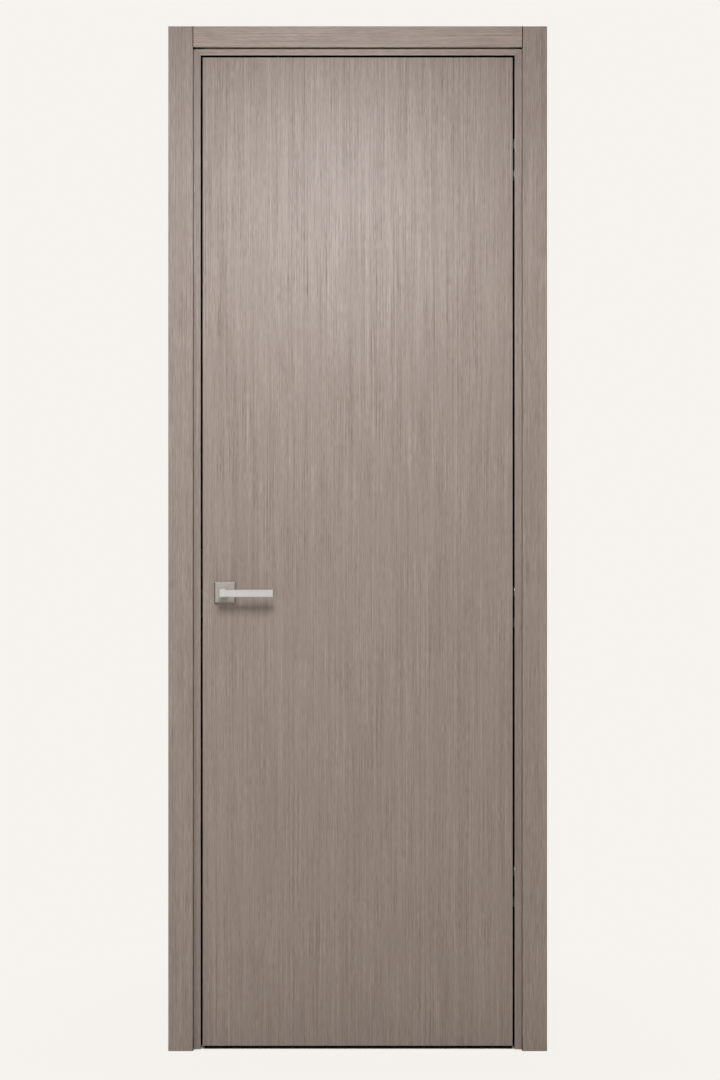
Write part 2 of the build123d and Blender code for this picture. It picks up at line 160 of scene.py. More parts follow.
@dataclass(frozen=True)
class GrainLayer:
    """One layer of a grain: how wide and long its streaks are and how much it shows.

    The shift moves the pattern, so that no two layers have their streaks in the same places.
    """

    width_mm: float
    length_mm: float
    weight: float
    shift: float = 0.0


def streak_noise(
    tree: bpy.types.NodeTree,
    position: bpy.types.NodeSocket,
    grain: Grain,
    layer: GrainLayer,
    offset: float = 0.0,
) -> bpy.types.NodeSocket:
    """Noise drawn out along the grain.

    Args:
        tree: The material's node tree.
        position: Object coordinates, in metres.
        grain: The direction that the streaks run in.
        layer: The size and shift of the streaks.
        offset: A further shift, so that two boards differ.

    Returns:
        The socket with the noise, about 0.5 on average.
    """
    across, along = 1.0 / (layer.width_mm * MM), 1.0 / (layer.length_mm * MM)
    scale = (across, across, along) if grain is Grain.UPRIGHT else (along, across, across)
    shift = layer.shift + offset
    mapped = add_node(
        tree,
        "ShaderNodeMapping",
        inputs={"Vector": position, "Location": (shift, shift, shift), "Scale": scale},
    )
    noise = add_node(
        tree,
        "ShaderNodeTexNoise",
        inputs={"Vector": mapped.outputs[0], "Scale": 1.0, "Detail": 0.0},
    )
    return noise.outputs["Fac"]


@dataclass(frozen=True)
class Crevice:
    """How the shade of a gap or of an inner corner darkens a surface.

    A point with less open space around it than the closed share has the full shade, and one with more
    than the open share has none. This gives the eye the black lines round the leaf.
    """

    reach_mm: float = 40.0
    closed: float = 0.6
    open: float = 0.95
    shade: float = 0.04
    samples: int = 8

    def openness(self, tree: bpy.types.NodeTree) -> bpy.types.NodeSocket:
        """Measure how much open space a point has around it.

        Args:
            tree: The material's node tree.

        Returns:
            The socket that is 1 in the open and 0 in a crevice.
        """
        around = add_node(
            tree,
            "ShaderNodeAmbientOcclusion",
            {"samples": self.samples},
            {"Distance": self.reach_mm * MM},
        ).outputs["AO"]
        return add_node(
            tree, "ShaderNodeMapRange", inputs={0: around, 1: self.closed, 2: self.open}
        ).outputs[0]


@dataclass(frozen=True)
class Laminate:
    """Decor laminate pressed on board, with a fine straight grain.

    The press plate leaves a satin face, so light spreads into one soft bright patch, and the printed
    and brushed lines run the whole length of the board. Real lines are about 0.3 mm wide, too fine to
    show, so they are drawn about 1 mm wide.

    The tone scales the colour, as painted light where a board looks lighter for how light falls on
    it, and the offset shifts the pattern, so that boards differ. A patch or tint comes in between
    the two noise values of its edge. A facing value says how squarely a face points to the front or
    back, from 0 for an edge to 1 for a face; edges in gaps and inner corners get painted shade, faces
    never. The bare face shows fibreboard.
    """

    name: str
    grain: Grain
    bare: BareFace = BareFace.NONE
    dark_hex: str = "#8f8179"
    light_hex: str = "#a4958b"
    cool_hex: str = "#988b87"
    fibre_dark_hex: str = "#8f7355"
    fibre_light_hex: str = "#a88a68"
    fibre_mm: float = 1.5
    fibre_detail: float = 3.0
    roughness: float = 0.39
    line_roughness: float = 0.05
    specular: float = 0.35
    ior: float = 1.5
    layers: tuple[GrainLayer, ...] = (
        GrainLayer(1.0, 1400.0, 0.52),
        GrainLayer(1.0, 240.0, 0.6, 3.1),
        GrainLayer(1.0, 80.0, 0.58, 6.2),
        GrainLayer(0.9, 22.0, 0.72, 9.3),
        GrainLayer(8.0, 400.0, 0.13, 12.4),
    )
    patch: GrainLayer = GrainLayer(60.0, 110.0, 1.25, 21.3)
    faintest_patch: float = 0.7
    patch_edge: tuple[float, float] = (0.3, 0.7)
    band: GrainLayer = GrainLayer(30.0, 420.0, 0.15, 7.7)
    tint: GrainLayer = GrainLayer(45.0, 70.0, 0.15, 33.1)
    tint_edge: tuple[float, float] = (0.45, 0.8)
    grain_depth_mm: float = 0.05
    grain_strength: float = 0.3
    crevice: Crevice = Crevice()
    lit_facing: tuple[float, float] = (0.6, 0.9)
    bare_facing: float = 0.9
    wall_skin_mm: float = 0.4
    tone: float = 1.0
    offset: float = 0.0

    def build(self) -> bpy.types.Material:
        """Make the material.

        Returns:
            The laminate material.
        """
        material, tree = new_material(self.name)
        coordinates = add_node(tree, "ShaderNodeTexCoord")
        position = coordinates.outputs["Object"]
        lines = self.line_sum(tree, position)
        patch = streak_noise(tree, position, self.grain, self.patch, self.offset)
        strength = add_node(
            tree,
            "ShaderNodeMapRange",
            inputs={
                0: patch,
                1: self.patch_edge[0],
                2: self.patch_edge[1],
                3: self.faintest_patch,
                4: self.patch.weight,
            },
        ).outputs[0]
        band = streak_noise(tree, position, self.grain, self.band, self.offset)
        level = add_node(
            tree,
            "ShaderNodeMapRange",
            {"clamp": False},
            {0: band, 3: -self.band.weight, 4: self.band.weight},
        ).outputs[0]
        tone = add_node(
            tree, "ShaderNodeMath", {"operation": "MULTIPLY_ADD"}, {0: lines, 1: strength, 2: level}
        ).outputs[0]
        # A tone of 0 lies half way between the dark and the light colour.
        share = add_node(tree, "ShaderNodeMath", {"operation": "ADD"}, {0: tone, 1: 0.5}).outputs[0]
        colour = add_node(
            tree,
            "ShaderNodeMix",
            {"data_type": "RGBA", "clamp_factor": False},
            {0: share, 6: linear(self.dark_hex), 7: linear(self.light_hex)},
        ).outputs[2]
        tint = streak_noise(tree, position, self.grain, self.tint, self.offset)
        cool = add_node(
            tree,
            "ShaderNodeMapRange",
            inputs={0: tint, 1: self.tint_edge[0], 2: self.tint_edge[1], 4: self.tint.weight},
        ).outputs[0]
        colour = add_node(
            tree,
            "ShaderNodeMix",
            {"data_type": "RGBA"},
            {0: cool, 6: colour, 7: linear(self.cool_hex)},
        ).outputs[2]
        if self.bare is not BareFace.NONE:
            colour = self.bare_board(tree, coordinates, colour)
        # Painted shade: the colour is darkened in gaps and inner corners, and the tone scales it as
        # painted light.
        space = self.open_space(tree, coordinates.outputs["Normal"])
        painted_shading = add_node(
            tree, "ShaderNodeMapRange", inputs={0: space, 3: self.crevice.shade, 4: self.tone}
        ).outputs[0]
        colour = add_node(
            tree, "ShaderNodeVectorMath", {"operation": "SCALE"}, {0: colour, "Scale": painted_shading}
        ).outputs[0]
        bump = add_node(
            tree,
            "ShaderNodeBump",
            inputs={
                "Strength": self.grain_strength,
                "Distance": self.grain_depth_mm * MM,
                "Height": lines,
            },
        )
        rough = add_node(
            tree,
            "ShaderNodeMath",
            {"operation": "MULTIPLY_ADD"},
            {0: lines, 1: self.line_roughness, 2: self.roughness},
        ).outputs[0]
        # Raised lines shine more than sunk ones, and the mean is the laminate's own gloss.
        gloss = add_node(
            tree,
            "ShaderNodeMapRange",
            inputs={0: lines, 1: -1.0, 2: 1.0, 4: 2.0 * self.specular},
        ).outputs[0]
        # Painted shade on the gloss too: it is cut in gaps and inner corners.
        gloss = add_node(
            tree, "ShaderNodeMath", {"operation": "MULTIPLY"}, {0: gloss, 1: space}
        ).outputs[0]
        shader = add_node(
            tree,
            "ShaderNodeBsdfPrincipled",
            inputs={
                "Base Color": colour,
                "Roughness": rough,
                "IOR": self.ior,
                "Specular IOR Level": gloss,
                "Normal": bump.outputs[0],
            },
        )
        finish_material(tree, shader.outputs[0])
        return material

    def open_space(
        self, tree: bpy.types.NodeTree, normal: bpy.types.NodeSocket
    ) -> bpy.types.NodeSocket:
        """Tell open faces from edges that lie in a gap or a corner.

        A face towards the front or the back always counts as open.

        Args:
            tree: The material's node tree.
            normal: The face's direction, in object coordinates.

        Returns:
            The socket that is 1 in the open and 0 in a crevice.
        """
        space = self.crevice.openness(tree)
        facing = add_node(tree, "ShaderNodeSeparateXYZ", inputs={0: normal}).outputs[1]
        facing = add_node(
            tree, "ShaderNodeMath", {"operation": "ABSOLUTE"}, {0: facing}
        ).outputs[0]
        flat = add_node(
            tree,
            "ShaderNodeMapRange",
            inputs={0: facing, 1: self.lit_facing[0], 2: self.lit_facing[1]},
        ).outputs[0]
        return add_node(
            tree, "ShaderNodeMath", {"operation": "MAXIMUM"}, {0: space, 1: flat}
        ).outputs[0]

    def line_sum(
        self, tree: bpy.types.NodeTree, position: bpy.types.NodeSocket
    ) -> bpy.types.NodeSocket:
        """Add up the fine lines of all layers.

        Args:
            tree: The material's node tree.
            position: Object coordinates, in metres.

        Returns:
            The socket with the sum, 0 on average.
        """
        total: bpy.types.NodeSocket | float = 0.0
        for layer in self.layers:
            noise = streak_noise(tree, position, self.grain, layer, self.offset)
            centred = add_node(
                tree,
                "ShaderNodeMapRange",
                {"clamp": False},
                {0: noise, 3: -layer.weight, 4: layer.weight},
            ).outputs[0]
            total = add_node(
                tree, "ShaderNodeMath", {"operation": "ADD"}, {0: centred, 1: total}
            ).outputs[0]
        return total

    def bare_board(
        self,
        tree: bpy.types.NodeTree,
        coordinates: bpy.types.Node,
        colour: bpy.types.NodeSocket,
    ) -> bpy.types.NodeSocket:
        """Show fibreboard on the face that has no laminate.

        Args:
            tree: The material's node tree.
            coordinates: The texture coordinate node.
            colour: The laminate's colour.

        Returns:
            The colour with the bare face in it.
        """
        position = coordinates.outputs["Object"]
        facing = add_node(
            tree, "ShaderNodeSeparateXYZ", inputs={0: coordinates.outputs["Normal"]}
        ).outputs[1]
        if self.bare is BareFace.TOWARDS_BACK:
            mask = add_node(
                tree, "ShaderNodeMath", {"operation": "GREATER_THAN"}, {0: facing, 1: self.bare_facing}
            ).outputs[0]
        elif self.bare is BareFace.TOWARDS_FRONT:
            mask = add_node(
                tree, "ShaderNodeMath", {"operation": "LESS_THAN"}, {0: facing, 1: -self.bare_facing}
            ).outputs[0]
        else:
            mask = self.wall_mask(tree, position)
        fibre = add_node(
            tree,
            "ShaderNodeTexNoise",
            inputs={
                "Vector": position,
                "Scale": 1.0 / (self.fibre_mm * MM),
                "Detail": self.fibre_detail,
            },
        ).outputs["Fac"]
        board = add_node(
            tree,
            "ShaderNodeMix",
            {"data_type": "RGBA"},
            {0: fibre, 6: linear(self.fibre_dark_hex), 7: linear(self.fibre_light_hex)},
        ).outputs[2]
        return add_node(
            tree,
            "ShaderNodeMix",
            {"data_type": "RGBA"},
            {0: mask, 6: colour, 7: board},
        ).outputs[2]

    def wall_mask(
        self, tree: bpy.types.NodeTree, position: bpy.types.NodeSocket
    ) -> bpy.types.NodeSocket:
        """Find the faces of the jambs that lie against the wall.

        Args:
            tree: The material's node tree.
            position: Object coordinates, in metres.

        Returns:
            The socket that is 1 on those faces.
        """
        low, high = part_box("jamb_latch_side")[0].x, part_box("jamb_hinge_side")[1].x
        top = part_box("jamb_head")[1].z
        skin = self.wall_skin_mm * MM
        place = add_node(tree, "ShaderNodeSeparateXYZ", inputs={0: position}).outputs
        mask: bpy.types.NodeSocket | float = 0.0
        for operation, axis, limit in (
            ("GREATER_THAN", 0, high - skin),
            ("LESS_THAN", 0, low + skin),
            ("GREATER_THAN", 2, top - skin),
        ):
            found = add_node(
                tree, "ShaderNodeMath", {"operation": operation}, {0: place[axis], 1: limit}
            ).outputs[0]
            mask = add_node(
                tree, "ShaderNodeMath", {"operation": "MAXIMUM"}, {0: found, 1: mask}
            ).outputs[0]
        return mask


@dataclass(frozen=True)
class SatinMetal:
    """A metal brushed in one direction and left satin, such as nickel plate or stainless steel.

    The brush lines spread the reflection sideways, so that faces read as soft even bands of light.
    Real ones are about 0.05 mm wide, too fine even for a close view, so they are drawn 0.35 mm wide.
    """

    name: str
    colour_hex: str
    roughness: float
    brush: GrainLayer = GrainLayer(0.35, 30.0, 1.0)
    brush_depth_mm: float = 0.01
    brush_strength: float = 0.3
    brush_tint: float = 0.06
    grain: Grain = Grain.LEVEL
    spread: float = 0.12
    crevice: Crevice | None = None

    def build(self) -> bpy.types.Material:
        """Make the material.

        Returns:
            The metal material.
        """
        material, tree = new_material(self.name)
        position = add_node(tree, "ShaderNodeTexCoord").outputs["Object"]
        brush = streak_noise(tree, position, self.grain, self.brush)
        bump = add_node(
            tree,
            "ShaderNodeBump",
            inputs={
                "Strength": self.brush_strength,
                "Distance": self.brush_depth_mm * MM,
                "Height": brush,
            },
        )
        half = self.spread / 2
        rough = add_node(
            tree,
            "ShaderNodeMapRange",
            inputs={0: brush, 3: self.roughness - half, 4: self.roughness + half},
        ).outputs[0]
        tint = add_node(
            tree,
            "ShaderNodeMapRange",
            inputs={0: brush, 3: 1.0 - self.brush_tint, 4: 1.0 + self.brush_tint},
        ).outputs[0]
        # Painted shade: in gaps and corners the colour is darkened.
        if self.crevice:
            painted_shading = add_node(
                tree,
                "ShaderNodeMapRange",
                inputs={0: self.crevice.openness(tree), 3: self.crevice.shade, 4: 1.0},
            ).outputs[0]
            tint = add_node(
                tree, "ShaderNodeMath", {"operation": "MULTIPLY"}, {0: tint, 1: painted_shading}
            ).outputs[0]
        colour = add_node(
            tree,
            "ShaderNodeVectorMath",
            {"operation": "SCALE"},
            {0: linear(self.colour_hex)[:3], "Scale": tint},
        ).outputs[0]
        shader = add_node(
            tree,
            "ShaderNodeBsdfPrincipled",
            inputs={
                "Base Color": colour,
                "Metallic": 1.0,
                "Roughness": rough,
                "Normal": bump.outputs[0],
            },
        )
        finish_material(tree, shader.outputs[0])
        return material


@dataclass(frozen=True)
class ExtrudedRubber:
    """Black rubber pushed through a die.

    The die leaves faint lines along the strip and a matt surface, which reads as a dull black. Real
    lines are about 0.2 mm wide, too fine to show, so they are drawn 0.8 mm wide.
    """

    name: str
    grain: Grain = Grain.UPRIGHT
    colour_hex: str = "#0b0b0b"
    roughness: float = 0.8
    spread: float = 0.14
    specular: float = 0.15
    ior: float = 1.52
    lines: GrainLayer = GrainLayer(0.8, 160.0, 1.0)
    line_depth_mm: float = 0.05
    line_strength: float = 0.4

    def build(self) -> bpy.types.Material:
        """Make the material.

        Returns:
            The rubber material.
        """
        material, tree = new_material(self.name)
        position = add_node(tree, "ShaderNodeTexCoord").outputs["Object"]
        lines = streak_noise(tree, position, self.grain, self.lines)
        bump = add_node(
            tree,
            "ShaderNodeBump",
            inputs={
                "Strength": self.line_strength,
                "Distance": self.line_depth_mm * MM,
                "Height": lines,
            },
        )
        half = self.spread / 2
        rough = add_node(
            tree,
            "ShaderNodeMapRange",
            inputs={0: lines, 3: self.roughness - half, 4: self.roughness + half},
        ).outputs[0]
        shader = add_node(
            tree,
            "ShaderNodeBsdfPrincipled",
            inputs={
                "Base Color": linear(self.colour_hex),
                "Roughness": rough,
                "Specular IOR Level": self.specular,
                "IOR": self.ior,
                "Normal": bump.outputs[0],
            },
        )
        finish_material(tree, shader.outputs[0])
        return material


@dataclass(frozen=True)
class PressedBoard:
    """Particle board pressed from wood chips, which the eye sees as a mottled brown."""

    name: str
    chip_mm: float = 4.0
    dark_hex: str = "#7d6242"
    light_hex: str = "#b8976b"
    roughness: float = 0.8

    def build(self) -> bpy.types.Material:
        """Make the material.

        Returns:
            The board material.
        """
        material, tree = new_material(self.name)
        position = add_node(tree, "ShaderNodeTexCoord").outputs["Object"]
        chips = add_node(
            tree,
            "ShaderNodeTexVoronoi",
            inputs={"Vector": position, "Scale": 1.0 / (self.chip_mm * MM)},
        )
        tone = add_node(
            tree, "ShaderNodeSeparateColor", inputs={0: chips.outputs["Color"]}
        ).outputs[0]
        colour = add_node(
            tree,
            "ShaderNodeMix",
            {"data_type": "RGBA"},
            {0: tone, 6: linear(self.dark_hex), 7: linear(self.light_hex)},
        ).outputs[2]
        shader = add_node(
            tree,
            "ShaderNodeBsdfPrincipled",
            inputs={"Base Color": colour, "Roughness": self.roughness},
        )
        finish_material(tree, shader.outputs[0])
        return material


def dress(
    frame: dict[str, object],
    nodes: list[str],
    material: bpy.types.Material,
    bevel_mm: float = 0.0,
    segments: int = 2,
) -> None:
    """Give nodes of the frame a material and softened edges.

    Args:
        nodes: The names of the nodes.
        material: The material for all of them.
        bevel_mm: Width of the softened edges, or 0 for none.
        segments: How many facets the rounding has.
    """
    for name in nodes:
        obj = frame["nodes"][name]
        obj.data.materials.clear()
        obj.data.materials.append(material)
        if bevel_mm:
            soften(obj, bevel_mm, segments)
        LOG.info("dressed %s with %s", name, material.name)


def soften(obj: bpy.types.Object, width_mm: float, segments: int) -> None:
    """Round the sharp edges of an object with modifiers.

    Args:
        obj: The object.
        width_mm: Width of the rounding.
        segments: How many facets the rounding has.
    """
    weld = obj.modifiers.new("weld", "WELD")
    weld.merge_threshold = WELD_MM * MM
    bevel = obj.modifiers.new("eased_edges", "BEVEL")
    bevel.width = width_mm * MM
    bevel.segments = segments
    bevel.limit_method = "ANGLE"
    bevel.angle_limit = math.radians(SHARP_EDGE_DEG)
    bevel.harden_normals = False


def mesh_object(name: str, mesh: bpy.types.Mesh, material: bpy.types.Material) -> bpy.types.Object:
    """Put a mesh in the scene.

    Args:
        name: The new object's name.
        mesh: Its mesh, placed in the row's frame.
        material: Its material.

    Returns:
        The new object.
    """
    obj = bpy.data.objects.new(name, mesh)
    bpy.context.scene.collection.objects.link(obj)
    mesh.materials.append(material)
    return obj


@dataclass
class Screws:
    """Countersunk screws, each a turned head with a cross drive sunk into it.

    The profile runs from the shank to the rim: each ring's radius as a share of the head's radius, and
    how far it lies below the head's face as a share of the head's depth. The drive's sizes are shares
    too, of the head's radius and depth and of the length of the cross's arms.
    """

    material: bpy.types.Material
    slot: str
    depth_mm: float = 2.2
    sides: int = 48
    profile: tuple[tuple[float, float], ...] = ((0.62, 1.0), (0.97, 0.14), (1.0, 0.08), (0.965, 0.0))
    drive_share: float = 0.6
    drive_taper: float = 0.8
    drive_depth: float = 0.55
    cross_half_width: float = 0.22
    first_turn_rad: float = 0.7
    next_turn_rad: float = 1.3

    def outline(self, size: float, angle: float) -> float:
        """Measure from the centre to the edge of the cross drive.

        Args:
            size: The length of the cross's arms, in metres.
            angle: The direction, in radians.

        Returns:
            The distance, in metres.
        """
        quarter = math.pi / 2
        turned = abs((angle + quarter / 2) % quarter - quarter / 2)
        half_width = size * self.cross_half_width
        return min(size / math.cos(turned), half_width / max(math.sin(turned), NEAR_ZERO))

    def head(self, bm: bmesh.types.BMesh, place: Matrix, radius: float, depth: float) -> None:
        """Add one screw head to a mesh, its face at the place and its axis along local Z.

        Args:
            bm: The mesh being built.
            place: Where the head's face lies.
            radius: The head's radius, in metres.
            depth: The head's depth, in metres.
        """
        drive = radius * self.drive_share
        narrow = drive * self.drive_taper
        floor = -depth * self.drive_depth
        angles = [2 * math.pi * n / self.sides for n in range(self.sides)]
        rings = [[(radius * wide, -depth * deep)] * self.sides for wide, deep in self.profile]
        rings.append([(self.outline(drive, a), 0.0) for a in angles])
        rings.append([(self.outline(narrow, a), floor) for a in angles])
        made = []
        for ring in rings:
            made.append(
                [
                    bm.verts.new(place @ Vector((r * math.cos(a), r * math.sin(a), z)))
                    for a, (r, z) in zip(angles, ring)
                ]
            )
        for lower, upper in zip(made, made[1:]):
            for n in range(self.sides):
                m = (n + 1) % self.sides
                bm.faces.new((lower[n], lower[m], upper[m], upper[n]))
        bm.faces.new(made[-1])
        bm.faces.new(list(reversed(made[0])))

    def build(
        self,
        name: str,
        body: str,
        places: list[tuple[Vector, Vector]],
        radius_mm: float,
    ) -> bpy.types.Object:
        """Make one object of several screws.

        Args:
            name: The object's name.
            body: The body that carries the screws.
            places: Centre of each head's face, and the direction that it faces.
            radius_mm: Radius of the heads.

        Returns:
            The new object.
        """
        bm = bmesh.new()
        for n, (centre, facing) in enumerate(places):
            turn = facing.to_track_quat("Z", "Y").to_matrix().to_4x4()
            spin = Matrix.Rotation(self.first_turn_rad + self.next_turn_rad * n, 4, "Z")
            place = Matrix.Translation(centre) @ turn @ spin
            self.head(bm, place, radius_mm * MM, self.depth_mm * MM)
        mesh = bpy.data.meshes.new(name)
        bm.to_mesh(mesh)
        bm.free()
        obj = mesh_object(name, mesh, self.material)
        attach(obj, body)
        LOG.info("built %s: %d screws on %s", name, len(places), body)
        return obj


@dataclass
class DoorFrame:
    """Jambs, casings and seals.

    The head boards look lighter than the legs, as light falls across their grain, and the level tone
    gives them that as painted light: it scales their colour up.
    """

    frame: dict[str, object]
    edge_mm: float = 0.5
    casing_edge_mm: float = 0.8
    level_tone: float = 1.14
    # Colour of the dark beads that paint the shade lines along the casings.
    painted_shade_hex: str = "#1b1512"
    leg_offset: float = 1.7
    head_offset: float = 2.9

    def build(self) -> None:
        """Dress every board of the frame and its seals, and lay the dark beads of painted shade."""
        jamb_upright = Laminate(
            "pressed_laminate_jamb_upright", Grain.UPRIGHT, BareFace.WALL_SIDE
        ).build()
        # The level boards get a lighter colour as painted light.
        jamb_level = Laminate(
            "pressed_laminate_jamb_level_painted_light", Grain.LEVEL, BareFace.WALL_SIDE, tone=self.level_tone
        ).build()
        dress(self.frame, ["jamb_hinge_side", "jamb_latch_side"], jamb_upright, self.edge_mm)
        dress(self.frame, ["jamb_head"], jamb_level, self.edge_mm)
        for side, bare in (("front", BareFace.TOWARDS_BACK), ("back", BareFace.TOWARDS_FRONT)):
            upright = Laminate(
                f"pressed_laminate_casing_{side}_upright",
                Grain.UPRIGHT,
                bare,
                offset=self.leg_offset,
            ).build()
            level = Laminate(
                f"pressed_laminate_casing_{side}_level",
                Grain.LEVEL,
                bare,
                tone=self.level_tone,
                offset=self.head_offset,
            ).build()
            legs = [f"casing_{side}_hinge_side", f"casing_{side}_latch_side"]
            dress(self.frame, legs, upright, self.casing_edge_mm)
            dress(self.frame, [f"casing_{side}_head"], level, self.casing_edge_mm)
        rubber = ExtrudedRubber("extruded_rubber_upright").build()
        dress(self.frame, ["seal_hinge_side", "seal_latch_side"], rubber)
        dress(self.frame, ["seal_head"], ExtrudedRubber("extruded_rubber_level", Grain.LEVEL).build())
        # Dark rubber beads as painted shade along the casings' inner edges and joints.
        brown = ExtrudedRubber("extruded_rubber_joint_bead", colour_hex=self.painted_shade_hex).build()
        PaintedShadeBeads(brown).build()


@dataclass
class PaintedShadeBeads:
    """Thin dark beads in the joints of the casings, as painted shade for the shade lines there.

    One lies in the corner between the casings' inner edges and the jambs, and one covers each joint
    between a leg and the head casing.
    """

    material: bpy.types.Material
    slot: str = "black_rubber"
    corner_mm: float = 1.5
    joint_width_mm: float = 1.9
    joint_height_mm: float = 0.35
    steps: int = 8

    def tube(self, bm: bmesh.types.BMesh, rings: list[list[Vector]]) -> None:
        """Join rings of points to a closed tube.

        Args:
            bm: The mesh being built.
            rings: The rings in order, each with the same number of points.
        """
        made = [[bm.verts.new(point) for point in ring] for ring in rings]
        for first, second in zip(made, made[1:]):
            for n in range(len(first)):
                m = (n + 1) % len(first)
                bm.faces.new((first[n], first[m], second[m], second[n]))
        bm.faces.new(made[0])
        bm.faces.new(list(reversed(made[-1])))

    def corner(self, bm: bmesh.types.BMesh, side: str, out: float) -> None:
        """Lay the painted-shade bead along the inner edges of both legs and the head.

        Args:
            bm: The mesh being built.
            side: Which side of the wall the casings are on.
            out: Direction from the jamb's face to the viewer, along Y.
        """
        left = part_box(f"casing_{side}_latch_side")[1].x
        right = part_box(f"casing_{side}_hinge_side")[0].x
        low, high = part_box(f"casing_{side}_head")
        jamb_y = high.y if out < 0 else low.y
        radius = self.corner_mm * MM
        angles = [math.pi / 2 * n / self.steps for n in range(self.steps + 1)]
        profile = [(0.0, 0.0)] + [(radius * math.cos(a), radius * math.sin(a)) for a in angles]
        rings: list[list[Vector]] = [[], [], [], []]
        for inward, forward in profile:
            y = jamb_y + out * forward
            rings[0].append(Vector((left + inward, y, 0.0)))
            rings[1].append(Vector((left + inward, y, low.z - inward)))
            rings[2].append(Vector((right - inward, y, low.z - inward)))
            rings[3].append(Vector((right - inward, y, 0.0)))
        self.tube(bm, rings)

    def joints(self, bm: bmesh.types.BMesh, side: str, out: float) -> None:
        """Cover the joints between the legs and the head casing with painted-shade bead.

        Args:
            bm: The mesh being built.
            side: Which side of the wall the casings are on.
            out: Direction from the casing's face to the viewer, along Y.
        """
        low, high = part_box(f"casing_{side}_head")
        face_y = low.y if out < 0 else high.y
        angles = [math.pi * n / self.steps for n in range(self.steps + 1)]
        for x in (low.x, high.x):
            rings = []
            for z in (low.z, high.z):
                ring = [
                    Vector(
                        (
                            x + self.joint_width_mm / 2 * MM * math.cos(a),
                            face_y + out * self.joint_height_mm * MM * math.sin(a),
                            z,
                        )
                    )
                    for a in angles
                ]
                rings.append(ring)
            self.tube(bm, rings)

    def build(self) -> None:
        """Make the painted-shade beads of both sides of the wall."""
        for side, out in (("front", -1.0), ("back", 1.0)):
            bm = bmesh.new()
            self.corner(bm, side, out)
            self.joints(bm, side, out)
            bmesh.ops.recalc_face_normals(bm, faces=bm.faces)
            mesh = bpy.data.meshes.new(f"painted_shade_bead_{side}")
            bm.to_mesh(mesh)
            bm.free()
            obj = mesh_object(f"painted_shade_bead_{side}", mesh, self.material)
            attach(obj, BODY_FRAME)
            LOG.info("built %s", obj.name)


@dataclass
class DoorLeaf:
    """Faces, edges and bottom seal of the leaf."""

    frame: dict[str, object]
    edge_mm: float = 0.5
    faces: Laminate = Laminate("pressed_laminate_leaf_face", Grain.UPRIGHT, offset=5.3)
    edges: Laminate = Laminate("pressed_laminate_leaf_edge", Grain.UPRIGHT, offset=6.1)
    rails: Laminate = Laminate("pressed_laminate_leaf_rail", Grain.LEVEL, offset=6.9)
    core: PressedBoard = PressedBoard("pressed_particle_board_core")
    seal: ExtrudedRubber = ExtrudedRubber("extruded_rubber_bottom_seal", Grain.LEVEL)

    def build(self) -> None:
        """Dress the pieces of the leaf."""
        dress(self.frame, ["leaf_front_face", "leaf_back_face"], self.faces.build(), self.edge_mm)
        dress(self.frame, ["leaf_hinge_stile", "leaf_latch_stile"], self.edges.build())
        dress(self.frame, ["leaf_top_rail", "leaf_bottom_rail"], self.rails.build())
        dress(self.frame, ["leaf_core"], self.core.build())
        dress(self.frame, ["bottom_seal"], self.seal.build())


